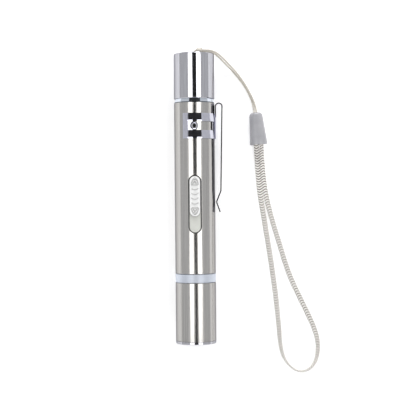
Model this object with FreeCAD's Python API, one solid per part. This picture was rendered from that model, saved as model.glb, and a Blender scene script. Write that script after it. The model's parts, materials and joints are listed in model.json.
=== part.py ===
"""A pen torch that charges from its own USB plug, lying on a table.

The torch lies along Y with its lamp end towards -Y, its pocket clip towards +X and its thumb slide up.
The origin is under the middle of the torch, on the table. Inside this file, y is measured from the
lamp end and x and z from the torch's own axis; place() moves a finished piece to the table's frame.
"""

import FreeCAD, Part
import math
import os

Vec = FreeCAD.Vector
ALONG = Vec(0, 1, 0)
UP = Vec(0, 0, 1)

# Whole torch
torch_length = 100.0
tube_radius = 7.0
tube_wall = 0.5
edge_break = 0.12
fit_gap = 0.03
running_gap = 0.06

# Lengths of the sections that show, from the lamp end to the tail
bezel_length = 1.0
head_tube_length = 20.1
head_ring_length = 3.1
ring_groove = 0.18
ring_groove_depth = 0.3
collar_length = 1.4
cap_length = 15.6
spigot_length = 4.0
collar_drop = 0.28
collar_groove = 0.2
collar_groove_depth = 0.35

# Lamp end
bezel_opening = 5.7
window_radius = 6.05
window_thickness = 1.2
bezel_lip = 0.6
bezel_spigot = 1.6
seal_thickness = 0.4
seal_lip = 0.2
emitter_radius = 2.5
emitter_flange = 2.72
emitter_flange_length = 1.0
emitter_length = 8.6
emitter_circle = 3.3
emitter_bore_gap = 0.05
holder_skirt = 3.0
lens_radius = 1.7
lens_thickness = 1.0
lens_sunk = 0.6
laser_recess = 0.2
laser_bore_depth = 4.0
lead_radius = 0.25
lead_pitch = 2.54
driver_thickness = 1.0
driver_edge_gap = 0.1
lead_stub = 0.5
ring_wall = 0.8

# Battery and carrier
battery_radius = 5.0
battery_length = 40.0
wrap_thickness = 0.1
battery_gap = 0.05
nub_radius = 1.6
nub_height = 0.5
nub_room = 1.0
tab_thickness = 0.3
tab_width = 3.0
carrier_plate = 1.4
carrier_play = 0.2
carrier_end_gap = 0.4
rail_bottom = 1.5
tab_bottom = 2.0

# Main board
board_thickness = 0.8
board_half_width = 4.3
board_inset = 0.9
board_depth = 2.75
board_socket_depth = 1.8
chip_before_clip = 9.0
chip_length = 4.9
chip_width = 3.9
chip_height = 0.9
part_pitch = 1.2
wire_radius = 0.4
wire_pitch = 1.1

# Thumb slide
slot_length = 20.0
slot_width = 4.5
slot_start = 38.1
slide_gap = 0.36
knob_length = 13.9
knob_rise = 0.45
track_drop = 0.25
track_lift = 0.1
way_floor = 0.35
lever_foot = 0.45
lever_height = 1.0
foot_margin = 2.0
foot_side = 0.8
groove_width = 0.5
groove_depth = 0.15
groove_inset = 0.6
stem_length = 3.5
stem_width = 1.4
groove_count = 4
groove_pitch = 1.62
switch_case_height = 1.2
switch_case_length = 13.0
switch_case_width = 3.8

# Pocket clip
clip_sheet = 0.45
arm_sheet = 0.4
clip_grip_gap = 0.08
band_from_collar = 3.8
band_height = 8.7
band_open_half_angle = 58.5
window_height = 3.0
window_end_angle = 58.0
strip_flare = 0.3
strip_lip = 0.45
flare_start_angle = -20.0
flare_end_angle = 62.0
arm_width = 4.6
arm_stand_at_arch = 2.79
arm_stand_at_bend = 2.15
arm_stand_at_tip = 1.85
arm_bend_from_arch = 30.4
arm_touch_from_arch = 34.2
arm_tip_from_arch = 37.7
arm_rest_gap = 0.1
arm_split_gap = 0.03
screw_head_radius = 1.35
screw_head_height = 0.62
screw_radius = 0.75
screw_socket_radius = 0.6
screw_socket_depth = 0.2
screw_end_gap = 0.15
riser_overlap = 1.2
arm_bend_radius = 1.2
arm_touch_radius = 0.7
touch_round = 0.12
nut_half_width = 1.4
nut_thickness = 0.85

# USB plug
usb_width = 12.0
usb_height = 4.5
usb_sheet = 0.3
usb_exposed = 11.75
usb_sunk = 7.0
usb_tongue_width = 11.1
usb_tongue_height = 1.9
usb_contact_pitch = 2.2
usb_corner = 0.45
usb_hole_x = 3.1
usb_hole_half = 1.15
usb_hole_back = 6.6
usb_hole_front = 4.3
contact_half_width = 0.5
contact_height = 0.12
contact_end = 1.6
usb_pin_half = 0.3
usb_pin_low = 0.4
usb_pin_high = 0.7
usb_pin_tail = 0.9
cap_spigot = 0.8
holder_depth = 6.0

# Tail cap
cap_end_gap = 0.25
cap_end_floor = 0.5
cap_end_recess = 0.15
cap_rim_round = 0.25
cap_rim_break = 0.08
cord_pocket_radius = 3.2
pin_radius = 0.5
pin_bite = 1.2
pin_to_floor = 1.35

# Wrist strap, in the table's frame
cord_radius = 0.35
strap_radius = 0.95
ferrule_mouth = (21.1, 18.8, 2.35)
ferrule_neck = (20.1, 30.0, 1.85)
ferrule_mouth_half = (3.1, 2.3)
ferrule_neck_half = (2.25, 1.8)
ferrule_pocket_half = (2.6, 1.5)
ferrule_pocket_depth = 1.8
ferrule_round = 0.7

# Route of the thin cord: from the ferrule up to the tail, round the pin and back to the ferrule.
cord_route = [
    (20.50, 30.0, 1.85),
    (20.2, 32.6, 0.9),
    (19.3, 35.8, 0.36),
    (17.8, 39.2, 0.36),
    (15.9, 42.3, 0.36),
    (13.3, 45.6, 0.36),
    (10.6, 48.3, 2.2),
    (8.0, 50.2, 5.2),
    (5.2, 51.4, 7.6),
    (1.4, 51.4, 8.0),
    (-1.35, 51.35, 8.3),
    (-1.35, 48.1, 8.48),
    (-1.35, 48.1, 6.58),
    (-1.35, 51.1, 6.9),
    (1.2, 51.2, 7.15),
    (5.0, 50.9, 6.8),
    (7.4, 49.3, 4.4),
    (9.6, 47.4, 1.5),
    (12.3, 44.8, 0.36),
    (14.9, 41.6, 0.36),
    (16.9, 38.7, 0.36),
    (18.5, 35.5, 0.36),
    (19.4, 32.6, 0.9),
    (19.70, 30.0, 1.85),
]

# Route of the braided strap: out of the ferrule's mouth, round the loop and back into it.
strap_route = [
    (20.1, 20.6, 2.3),
    (20.3, 16.5, 1.7),
    (20.7, 10.0, 0.96),
    (21.4, 2.0, 0.96),
    (22.9, -7.5, 0.96),
    (25.0, -21.0, 0.96),
    (26.6, -33.0, 0.96),
    (27.7, -44.5, 0.96),
    (28.3, -53.5, 0.96),
    (30.3, -58.4, 0.96),
    (35.0, -61.8, 0.96),
    (40.0, -59.6, 0.96),
    (41.8, -53.0, 0.96),
    (40.6, -46.5, 0.96),
    (36.5, -37.8, 0.96),
    (31.5, -27.3, 0.96),
    (28.0, -15.5, 0.96),
    (25.3, -6.5, 0.96),
    (23.5, 2.5, 0.96),
    (22.9, 10.5, 0.96),
    (22.7, 16.5, 1.7),
    (22.4, 20.6, 2.3),
]

# Places along the torch, worked out from the lengths above
bore_radius = tube_radius - tube_wall
spigot_radius = bore_radius - fit_gap
head_tube_start = bezel_length
head_ring_start = head_tube_start + head_tube_length
body_start = head_ring_start + head_ring_length
cap_start = torch_length - cap_length
collar_start = cap_start - collar_length
slot_middle = slot_start + slot_length / 2
slide_travel = slot_length - knob_length - 2 * slide_gap
band_start = collar_start - band_from_collar - band_height
band_middle = band_start + band_height / 2
band_inner = tube_radius + clip_grip_gap
band_outer = band_inner + clip_sheet
arch_top = collar_start
arm_reach_at_arch = tube_radius + arm_stand_at_arch
arm_reach_at_bend = tube_radius + arm_stand_at_bend
arm_reach_at_tip = tube_radius + arm_stand_at_tip
usb_base = cap_start + cap_spigot
usb_tip = usb_base + usb_exposed
cap_floor_back = usb_tip + cap_end_gap
cap_floor_front = cap_floor_back + cap_end_floor
battery_drop = bore_radius - battery_radius - battery_gap
carrier_top = bore_radius - board_depth
board_top = carrier_top + board_thickness
carrier_front = body_start + spigot_length + carrier_end_gap
battery_front = carrier_front + carrier_plate + nub_room
battery_back = battery_front + battery_length
board_front = carrier_front + board_inset
holder_front = collar_start - holder_depth
board_back = holder_front + board_socket_depth
emitter_tip = bezel_length + bezel_spigot
emitter_back = emitter_tip + emitter_length
driver_front = emitter_back + holder_skirt - emitter_flange_length
driver_back = driver_front + driver_thickness

# The torch's axis in the table's frame: the clip's band rests on the table, and the clip's arm and
# the far side of the tube are equally far from the origin.
axis_x = -(arm_reach_at_arch - tube_radius) / 2
axis_z = band_outer

pieces = {}


def place(shape):
    """Moves a piece from the torch's own frame to the table's frame."""
    moved = shape.copy()
    moved.translate(Vec(axis_x, -torch_length / 2, axis_z))
    return moved


def rod(radius, y0, y1, x=0.0, z=0.0):
    """A solid cylinder along the torch."""
    return Part.makeCylinder(radius, y1 - y0, Vec(x, y0, z), ALONG)


def tube(outer, inner, y0, y1, x=0.0, z=0.0):
    """A hollow cylinder along the torch."""
    return rod(outer, y0, y1, x, z).cut(rod(inner, y0 - 1, y1 + 1, x, z))


def block(x0, x1, y0, y1, z0, z1):
    return Part.makeBox(x1 - x0, y1 - y0, z1 - z0, Vec(x0, y0, z0))


def post(radius, x, y, z0, z1):
    """A solid cylinder that stands up from the torch's axis."""
    return Part.makeCylinder(radius, z1 - z0, Vec(x, y, z0), UP)


def stadium(length, width, y_middle, z0, z1):
    """An upright prism with round ends, along the torch."""
    half = width / 2
    straight = length / 2 - half
    body = block(-half, half, y_middle - straight, y_middle + straight, z0, z1)
    ends = [post(half, 0, y_middle + side * straight, z0, z1) for side in (-1, 1)]
    return body.multiFuse(ends).removeSplitter()


def turned(outline):
    """A ring or rod turned about the torch's axis from its outline of (y, radius) points."""
    points = [Vec(0, y, radius) for y, radius in outline]
    face = Part.Face(Part.makePolygon(points + points[:1]))
    return face.revolve(Vec(0, 0, 0), ALONG, 360)


def sector(outline, start, end):
    """A part of a ring, between two angles from straight up towards the clip, from (y, radius) points."""
    corners = [Vec(0, y, radius) for y, radius in outline]
    face = Part.Face(Part.makePolygon(corners + corners[:1]))
    face.rotate(Vec(0, 0, 0), ALONG, start)
    return face.revolve(Vec(0, 0, 0), ALONG, end - start)


def outer_skin(y0, y1):
    """A plain length of the torch's tube with its outer edges broken."""
    return turned(
        [
            (y0, bore_radius),
            (y1, bore_radius),
            (y1, tube_radius - edge_break),
            (y1 - edge_break, tube_radius),
            (y0 + edge_break, tube_radius),
            (y0, tube_radius - edge_break),
        ]
    )


def bend(before, corner, after, radius):
    """The start, middle, end and centre of the arc that rounds a corner."""
    back = (before - corner).normalize()
    on = (after - corner).normalize()
    half_turn = (math.pi - back.getAngle(on)) / 2
    start = corner + back * (radius * math.tan(half_turn))
    end = corner + on * (radius * math.tan(half_turn))
    inward = (back + on).normalize()
    centre = corner + inward * (radius / math.cos(half_turn))
    return start, centre - inward * radius, end, centre


def cord_solid(name, route, radius):
    """A round cord along a route, with each arc as large as its two runs allow."""
    points = [Vec(*point) for point in route]
    edges = []
    radii = []
    at = points[0]
    for before, corner, after in zip(points, points[1:], points[2:]):
        shorter = min(before.distanceToPoint(corner), corner.distanceToPoint(after))
        turn = math.pi - (before - corner).getAngle(after - corner)
        arc_radius = 0.45 * shorter / math.tan(turn / 2)
        start, middle, end, _ = bend(before, corner, after, arc_radius)
        edges.append(Part.LineSegment(at, start).toShape())
        edges.append(Part.Arc(start, middle, end).toShape())
        radii.append(round(arc_radius, 1))
        at = end
    edges.append(Part.LineSegment(at, points[-1]).toShape())
    path = Part.Wire(edges)
    section = Part.Wire(Part.Circle(points[0], points[1] - points[0], radius).toShape())
    solid = path.makePipeShell([section], True, False)
    filled = solid.Volume / (math.pi * radius**2 * path.Length)
    print(name, "length", round(path.Length, 1), "volume share", round(filled, 4), "radii", radii)
    return solid


def strip(points, radii, thickness, width):
    """A bent strip of sheet: its middle line runs through the points, with a radius at each bend."""
    sides = []
    for offset in (thickness / 2, -thickness / 2):
        edges = []
        at = points[0] + across(points[0], points[1]) * offset
        for before, corner, after, radius in zip(points, points[1:], points[2:], radii):
            start, middle, end, centre = bend(before, corner, after, radius)
            left = 1 if across(before, corner).dot(centre - corner) > 0 else -1
            shift = (centre - middle).normalize() * (left * offset)
            first = start + across(before, corner) * offset
            last = end + across(corner, after) * offset
            edges.append(Part.LineSegment(at, first).toShape())
            edges.append(Part.Arc(first, middle + shift, last).toShape())
            at = last
        final = points[-1] + across(points[-2], points[-1]) * offset
        edges.append(Part.LineSegment(at, final).toShape())
        sides.append(edges)
    ends = []
    for i, j in ((0, 1), (-2, -1)):
        step = across(points[i], points[j]) * (thickness / 2)
        where = points[0] if i == 0 else points[-1]
        ends.append(Part.LineSegment(where + step, where - step).toShape())
    outline = Part.Wire(Part.__sortEdges__(sides[0] + sides[1] + ends))
    face = Part.Face(outline)
    face.translate(UP * (-width / 2))
    return face.extrude(UP * width)


def across(start, end):
    """The unit vector to the left of a run, in the flat plane."""
    run = (end - start).normalize()
    return Vec(-run.y, run.x, 0)


def lamp_end():
    lip_end = bezel_lip
    spigot_end = bezel_length + bezel_spigot
    pieces["front_bezel"] = turned(
        [
            (0, bezel_opening + edge_break),
            (edge_break, bezel_opening),
            (lip_end, bezel_opening),
            (lip_end, window_radius + fit_gap),
            (spigot_end, window_radius + fit_gap),
            (spigot_end, spigot_radius),
            (bezel_length, spigot_radius),
            (bezel_length, tube_radius - edge_break),
            (bezel_length - edge_break, tube_radius),
            (edge_break * 2, tube_radius),
            (0, tube_radius - edge_break * 2),
        ]
    )
    window_end = lip_end + window_thickness
    seal_end = window_end + seal_thickness
    pieces["front_window"] = rod(window_radius, lip_end, window_end)
    pieces["window_seal"] = tube(window_radius, bezel_opening - seal_lip, window_end, seal_end)

    holder_end = emitter_back - emitter_flange_length
    places = []
    for turn in (90, 210, 330):
        angle = math.radians(turn)
        places.append((emitter_circle * math.cos(angle), emitter_circle * math.sin(angle)))
    holder = rod(window_radius, seal_end, spigot_end).fuse(rod(spigot_radius, spigot_end, holder_end))
    skirt_inside = emitter_circle + emitter_flange + emitter_bore_gap
    holder = holder.fuse(tube(spigot_radius, skirt_inside, holder_end, driver_front))
    for x, z in places:
        holder = holder.cut(rod(emitter_radius + emitter_bore_gap, 0, holder_end, x, z))
    pieces["emitter_holder"] = holder.removeSplitter()

    names = ("laser_barrel", "white_led", "uv_led")
    leads = []
    board = rod(spigot_radius - driver_edge_gap, driver_front, driver_back)
    for name, (x, z) in zip(names, places):
        flange = rod(emitter_flange, holder_end, emitter_back, x, z)
        dome_start = emitter_tip + emitter_radius
        body = rod(emitter_radius, dome_start, emitter_back, x, z)
        if name == "laser_barrel":
            body = rod(emitter_radius, emitter_tip + laser_recess, emitter_back, x, z)
            body = body.cut(rod(lens_radius, emitter_tip, emitter_tip + laser_bore_depth, x, z))
            lens_start = emitter_tip + laser_recess + lens_sunk
            pieces["laser_lens"] = rod(lens_radius, lens_start, lens_start + lens_thickness, x, z)
        else:
            body = body.fuse(Part.makeSphere(emitter_radius, Vec(x, dome_start, z)))
        pieces[name] = body.fuse(flange).removeSplitter()
        for side in (-1, 1):
            lead_x = x + side * lead_pitch / 2
            leads.append(rod(lead_radius, emitter_back, driver_back + lead_stub, lead_x, z))
            board = board.cut(rod(lead_radius + fit_gap, driver_front - 1, driver_back + 1, lead_x, z))
    pieces["emitter_leads"] = Part.makeCompound(leads)
    pieces["driver_board"] = board
    chips = [block(-1.1, 1.1, driver_back, driver_back + 0.9, -2.6, 0.4)]
    for x in (-4.2, 3.0):
        chips.append(block(x, x + 1.2, driver_back, driver_back + 0.5, 0.6, 2.6))
    pieces["driver_parts"] = Part.makeCompound(chips)

    pieces["head_tube"] = outer_skin(head_tube_start, head_ring_start)
    # The ring has a fine groove at each end, where it meets the tubes.
    ring_bore = bore_radius - ring_wall
    groove_floor = tube_radius - ring_groove_depth
    pieces["head_ring"] = turned(
        [
            (head_ring_start - spigot_length, ring_bore),
            (body_start + spigot_length, ring_bore),
            (body_start + spigot_length, spigot_radius),
            (body_start, spigot_radius),
            (body_start, groove_floor),
            (body_start - ring_groove, tube_radius),
            (head_ring_start + ring_groove, tube_radius),
            (head_ring_start, groove_floor),
            (head_ring_start, spigot_radius),
            (head_ring_start - spigot_length, spigot_radius),
        ]
    )


def body():
    skin = outer_skin(body_start, collar_start)
    skin = skin.cut(stadium(slot_length, slot_width, slot_middle, bore_radius - 2, tube_radius + 1))
    skin = skin.cut(post(screw_radius + fit_gap, 0, band_middle, 0, tube_radius + 1))
    pieces["body_tube"] = skin
    # The collar narrows towards the cap, with a fine groove at each end.
    groove_floor = tube_radius - collar_groove_depth
    pieces["collar_ring"] = turned(
        [
            (collar_start, spigot_radius),
            (cap_start, spigot_radius),
            (cap_start, groove_floor),
            (cap_start - collar_groove, tube_radius - collar_drop),
            (collar_start + collar_groove, tube_radius),
            (collar_start, groove_floor),
        ]
    )


def power():
    z = -battery_drop
    can = battery_radius - wrap_thickness
    pieces["battery_can"] = rod(can, battery_front, battery_back, 0, z)
    pieces["battery_wrap"] = tube(battery_radius, can, battery_front, battery_back, 0, z)
    nub_start = battery_front - nub_height
    pieces["battery_nub"] = rod(nub_radius, nub_start, battery_front, 0, z)
    half = tab_width / 2
    front_tab = block(-half, half, nub_start - tab_thickness, nub_start, z - tab_bottom, carrier_top)
    back_tab = block(-half, half, battery_back, battery_back + tab_thickness, z - tab_bottom, carrier_top)
    pieces["battery_tabs"] = Part.makeCompound([front_tab, back_tab])

    back_plate = battery_back + tab_thickness + carrier_play
    carrier_back = back_plate + carrier_plate
    length = rod(spigot_radius, carrier_front, carrier_back)
    rails = block(-bore_radius, bore_radius, carrier_front, carrier_back, rail_bottom, carrier_top)
    room = rod(battery_radius + running_gap, carrier_front - 1, carrier_back + 1, 0, z)
    rails = rails.cut(room)
    tab_half = half + carrier_play
    tab_room = block(-tab_half, tab_half, carrier_front, carrier_back, rail_bottom, carrier_top)
    rails = rails.cut(tab_room)
    front_end = carrier_front + carrier_plate
    plates = block(-bore_radius, bore_radius, carrier_front, front_end, -bore_radius, carrier_top)
    back_wall = block(-bore_radius, bore_radius, back_plate, carrier_back, -bore_radius, carrier_top)
    plates = plates.fuse(back_wall)
    pieces["battery_carrier"] = rails.fuse(plates).common(length).removeSplitter()

    pieces["main_board"] = block(
        -board_half_width, board_half_width, board_front, board_back, carrier_top, board_top
    )
    chip_y = band_middle - chip_before_clip
    half_chip = chip_length / 2
    chip_x = chip_width / 2
    pieces["charge_chip"] = block(
        -chip_x, chip_x, chip_y - half_chip, chip_y + half_chip, board_top, board_top + chip_height
    )
    parts = []
    for i in range(4):
        y = chip_y + part_pitch * (i - 1.5)
        for side in (-1, 1):
            x = side * 3.0 - 0.5
            parts.append(block(x, x + 1.0, y, y + 0.6, board_top, board_top + 0.45))
    pieces["board_parts"] = Part.makeCompound(parts)
    led_y = chip_y + 3.6
    pieces["charge_led"] = block(-0.8, 0.8, led_y, led_y + 0.8, board_top, board_top + 0.6)
    wires = []
    for i in (-1, 0, 1):
        wire_z = board_top + wire_radius
        wires.append(rod(wire_radius, driver_back, board_front + 2.0, i * wire_pitch, wire_z))
    pieces["head_wires"] = Part.makeCompound(wires)


def thumb_slide():
    track_top = tube_radius - track_drop
    case_top = board_top + switch_case_height
    half_case = switch_case_length / 2
    half_width = switch_case_width / 2
    knob_width = slot_width - 2 * slide_gap
    track_length = slot_length - 2 * slide_gap

    # At rest the knob stands at the tail end of its slot.
    knob_middle = slot_start + slot_length - slide_gap - knob_length / 2
    stem_middle = knob_middle + knob_length / 2 - slot_width / 2 - stem_length / 2
    way_length = stem_length + slide_travel + 2 * slide_gap
    way_middle = stem_middle - slide_travel / 2

    case = block(-half_width, half_width, way_middle - half_case, way_middle + half_case, board_top, case_top)
    way = block(
        -stem_width / 2 - slide_gap,
        stem_width / 2 + slide_gap,
        way_middle - way_length / 2,
        way_middle + way_length / 2,
        board_top + way_floor,
        tube_radius,
    )
    pieces["switch_case"] = case.cut(way)

    track_room = (slot_start - foot_margin, slot_start + slot_length + foot_margin)
    plate = stadium(slot_length + foot_margin, slot_width + 2 * foot_side, slot_middle, case_top, tube_radius)
    pieces["switch_plate"] = plate.common(rod(spigot_radius, *track_room)).cut(way)
    pad = stadium(track_length, knob_width, slot_middle, case_top, tube_radius + 1)
    pieces["switch_track"] = pad.common(tube(track_top, spigot_radius, *track_room)).cut(way)

    knob_bottom = track_top + track_lift
    knob = stadium(knob_length, knob_width, knob_middle, 4.0, tube_radius + 2)
    knob = knob.common(tube(tube_radius + knob_rise, knob_bottom, slot_start, slot_start + slot_length))
    for i in range(groove_count):
        y = knob_middle - groove_pitch * (groove_count - 1) / 2 + groove_pitch * i
        groove_half = knob_width / 2 - groove_inset
        groove_floor = tube_radius + knob_rise - groove_depth
        groove = block(
            -groove_half, groove_half, y - groove_width / 2, y + groove_width / 2, groove_floor, 20
        )
        knob = knob.cut(groove)
    lever_top = board_top + lever_height
    half_stem = stem_width / 2
    stem = block(
        -half_stem,
        half_stem,
        stem_middle - stem_length / 2,
        stem_middle + stem_length / 2,
        lever_top,
        knob_bottom + 0.2,
    )
    pieces["switch_knob"] = knob.fuse(stem).removeSplitter()
    pieces["switch_lever"] = block(
        -half_stem,
        half_stem,
        stem_middle - stem_length / 2,
        stem_middle + stem_length / 2,
        board_top + lever_foot,
        lever_top,
    )


def plain(y0, y1, margin=0):
    """Outline of a level strip of the clip's band."""
    inner = band_inner - margin
    outer = band_outer + margin
    return [(y0, inner), (y1, inner), (y1, outer), (y0, outer)]


def flared(y0, y1):
    """Outline of a strip that stands off more towards the lamp end, where a level lip runs along it."""
    lip = y0 + strip_lip
    inner = band_inner + strip_flare
    outer = band_outer + strip_flare
    return [(y0, inner), (lip, inner), (y1, band_inner), (y1, band_outer), (lip, outer), (y0, outer)]


def pocket_clip():
    start = 90 - 180 + band_open_half_angle
    band_end = band_start + band_height
    window_low = band_middle - window_height / 2
    window_high = band_middle + window_height / 2
    band = sector(plain(band_start, band_end), start, 180 - start)
    for low, high in ((band_start, window_low), (window_high, band_end)):
        band = band.cut(sector(plain(low, high), flare_start_angle, flare_end_angle))
        band = band.fuse(sector(flared(low, high), flare_start_angle, flare_end_angle))
    window = sector(plain(window_low, window_high, 1), 0, window_end_angle)
    window = window.fuse(post(window_height / 2, 0, band_middle, 3, band_outer + 2))
    band = band.cut(window)
    band = band.cut(window.mirror(Vec(0, 0, 0), UP))

    inner_x = tube_radius + clip_grip_gap
    arch_outer = (arm_reach_at_arch - inner_x) / 2
    arch_middle = arch_outer - arm_sheet / 2
    centre_x = inner_x + arch_outer
    hinge = Vec(centre_x, arch_top, 0)
    low = band_start + band_height - riser_overlap
    riser_x = inner_x + arm_sheet / 2
    riser = [
        Vec(riser_x, low, 0),
        Vec(riser_x, arch_top - arm_sheet / 2, 0),
        Vec(centre_x, arch_top - arm_sheet / 2, 0),
    ]
    riser_strip = strip(riser, [arch_middle - 0.001], arm_sheet, arm_width)
    base = band.fuse(riser_strip)
    # The riser leaves the band inside its curve, so what lies inside the tube's clearance goes.
    base = base.cut(rod(tube_radius + clip_grip_gap, 0, torch_length)).removeSplitter()
    pieces["clip_band"] = base

    arm = [
        Vec(hinge.x + arm_split_gap, arch_top - arm_sheet / 2, 0),
        Vec(arm_reach_at_arch - arm_sheet / 2, arch_top - arm_sheet / 2, 0),
        Vec(arm_reach_at_bend - arm_sheet / 2, arch_top - arm_bend_from_arch, 0),
        Vec(tube_radius + arm_rest_gap + arm_sheet / 2 + touch_round, arch_top - arm_touch_from_arch, 0),
        Vec(arm_reach_at_tip - arm_sheet / 2, arch_top - arm_tip_from_arch, 0),
    ]
    first_bend = arch_middle - arm_split_gap - 0.05
    pieces["clip_arm"] = strip(arm, [first_bend, arm_bend_radius, arm_touch_radius], arm_sheet, arm_width)
    print("clip hinge", place(Part.Vertex(hinge)).Point)

    dome_radius = (screw_head_radius**2 + screw_head_height**2) / (2 * screw_head_height)
    dome = Part.makeSphere(dome_radius, Vec(0, band_middle, tube_radius + screw_head_height - dome_radius))
    head = post(screw_head_radius, 0, band_middle, tube_radius - 0.3, tube_radius + 1).common(dome)
    head = head.cut(rod(tube_radius, band_middle - 3, band_middle + 3))
    shank = post(screw_radius, 0, band_middle, bore_radius - nut_thickness - screw_end_gap, tube_radius + 0.1)
    screw = head.fuse(shank).cut(
        post(screw_socket_radius, 0, band_middle, tube_radius - screw_socket_depth, tube_radius + 2)
    )
    pieces["clip_screw"] = screw.removeSplitter()
    nut_top = math.sqrt(bore_radius**2 - nut_half_width**2) - fit_gap
    nut = block(
        -nut_half_width,
        nut_half_width,
        band_middle - nut_half_width,
        band_middle + nut_half_width,
        nut_top - nut_thickness,
        nut_top,
    )
    pieces["clip_nut"] = nut.cut(post(screw_radius, 0, band_middle, 0, 20))


def usb_plug():
    half_w = usb_width / 2
    half_h = usb_height / 2
    back = usb_base - usb_sunk
    shell = block(-half_w, half_w, back, usb_tip, -half_h, half_h)
    long_edges = [e for e in shell.Edges if abs(e.tangentAt(e.FirstParameter).y) > 0.9]
    shell = shell.makeFillet(usb_corner, long_edges)
    outside = shell.copy()
    in_w = half_w - usb_sheet
    in_h = half_h - usb_sheet
    inside = block(-in_w, in_w, back - 1, usb_tip + 1, -in_h, in_h)
    shell = shell.cut(inside)
    hole_back = usb_tip - usb_hole_back
    hole_front = usb_tip - usb_hole_front
    for x in (-usb_hole_x, usb_hole_x):
        hole = block(x - usb_hole_half, x + usb_hole_half, hole_back, hole_front, -half_h - 1, half_h + 1)
        shell = shell.cut(hole)
    pieces["usb_shell"] = shell

    tongue_half = usb_tongue_width / 2
    bottom = -half_h + usb_sheet
    tongue = block(-tongue_half, tongue_half, back, usb_tip - 0.5, bottom, bottom + usb_tongue_height)
    root = block(-tongue_half, tongue_half, back, usb_base - 1.0, bottom, half_h - usb_sheet)
    pieces["usb_tongue"] = tongue.fuse(root).removeSplitter()
    contacts = []
    contact_z = bottom + usb_tongue_height
    for i in range(4):
        x = usb_contact_pitch * (i - 1.5)
        left = x - contact_half_width
        right = x + contact_half_width
        contacts.append(
            block(left, right, usb_base + 0.2, usb_tip - contact_end, contact_z, contact_z + contact_height)
        )
    pieces["usb_contacts"] = Part.makeCompound(contacts)

    holder = rod(spigot_radius, holder_front, collar_start)
    holder = holder.fuse(rod(spigot_radius - fit_gap, collar_start, cap_start))
    holder = holder.fuse(rod(bore_radius - running_gap, cap_start, usb_base)).removeSplitter()
    holder = holder.cut(outside)
    board_room = block(
        -board_half_width - 0.1,
        board_half_width + 0.1,
        holder_front - 1,
        board_back + 0.1,
        carrier_top - 0.05,
        board_top + 0.05,
    )
    pin_half = usb_contact_pitch * 1.5 + 0.4
    pin_room = block(
        -pin_half, pin_half, holder_front - 1, back, usb_pin_low - running_gap, usb_pin_high + running_gap
    )
    pieces["usb_holder"] = holder.cut(board_room).cut(pin_room)
    pins = []
    for i in range(4):
        x = usb_contact_pitch * (i - 1.5)
        left = x - usb_pin_half
        right = x + usb_pin_half
        tail = holder_front - usb_pin_tail
        pins.append(block(left, right, tail, back, usb_pin_low, usb_pin_high))
        pins.append(block(left, right, tail, tail + usb_pin_half, usb_pin_high, carrier_top))
    arms = [pins[2 * i].fuse(pins[2 * i + 1]).removeSplitter() for i in range(4)]
    pieces["usb_pins"] = Part.makeCompound(arms)


def tail_cap():
    pieces["cap_shell"] = turned(
        [
            (cap_start, bore_radius),
            (torch_length, bore_radius),
            (torch_length, tube_radius - cap_rim_round),
            (torch_length - cap_rim_break, tube_radius - cap_rim_break),
            (torch_length - cap_rim_round, tube_radius),
            (cap_start + edge_break, tube_radius),
            (cap_start, tube_radius - edge_break),
        ]
    )
    end_front = torch_length - cap_end_recess
    end = rod(bore_radius, cap_floor_back, end_front)
    end = end.cut(rod(cord_pocket_radius, cap_floor_front, end_front + 1))
    pin_y = cap_floor_front + pin_to_floor
    half_pin = cord_pocket_radius + pin_bite
    pin = Part.makeCylinder(pin_radius, 2 * half_pin, Vec(-half_pin, pin_y, 0), Vec(1, 0, 0))
    pieces["cap_end"] = end.cut(pin)
    pieces["lanyard_pin"] = pin


def oval(centre, half, direction):
    """A closed oval wire, wider than it is tall, square to a direction."""
    ellipse = Part.Ellipse(Vec(0, 0, 0), half[0], half[1]).toShape()
    wire = Part.Wire(ellipse)
    wire.rotate(Vec(0, 0, 0), Vec(1, 0, 0), 90)
    heading = math.degrees(math.atan2(direction.x, direction.y))
    wire.rotate(Vec(0, 0, 0), UP, -heading)
    wire.translate(centre)
    return wire


def wrist_strap():
    mouth = Vec(*ferrule_mouth)
    neck = Vec(*ferrule_neck)
    direction = Vec(neck.x - mouth.x, neck.y - mouth.y, 0).normalize()
    body_shape = Part.makeLoft(
        [oval(mouth, ferrule_mouth_half, direction), oval(neck, ferrule_neck_half, direction)], True
    )
    neck_edges = [e for e in body_shape.Edges if e.BoundBox.YMin > neck.y - 1.0]
    body_shape = body_shape.makeFillet(ferrule_round, neck_edges)
    pocket_start = mouth - direction
    pocket_end = mouth + direction * ferrule_pocket_depth
    pocket_rims = [oval(place, ferrule_pocket_half, direction) for place in (pocket_start, pocket_end)]
    pocket = Part.makeLoft(pocket_rims, True)
    ferrule = body_shape.cut(pocket)
    cord = cord_solid("lanyard_cord", cord_route, cord_radius)
    strap = cord_solid("wrist_strap", strap_route, strap_radius)
    export("ferrule", ferrule)
    export("lanyard_cord", cord)
    export("wrist_strap", strap)


def export(name, shape):
    if not shape.isValid():
        raise ValueError(name + " isn't valid")
    shape.exportStep("parts/" + name + ".step")


def main():
    os.makedirs("parts", exist_ok=True)
    lamp_end()
    body()
    power()
    thumb_slide()
    pocket_clip()
    usb_plug()
    tail_cap()
    for name, shape in pieces.items():
        export(name, place(shape))
    wrist_strap()
    print("axis", axis_x, axis_z, "pin", cap_floor_front + pin_to_floor - torch_length / 2)


main()
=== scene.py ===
"""Looks of a pen torch with a pocket clip and a wrist strap, laid out as an add-on and run as a script."""

import json
import math

import bmesh
import bpy
from mathutils import Euler, Matrix, Vector


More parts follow.
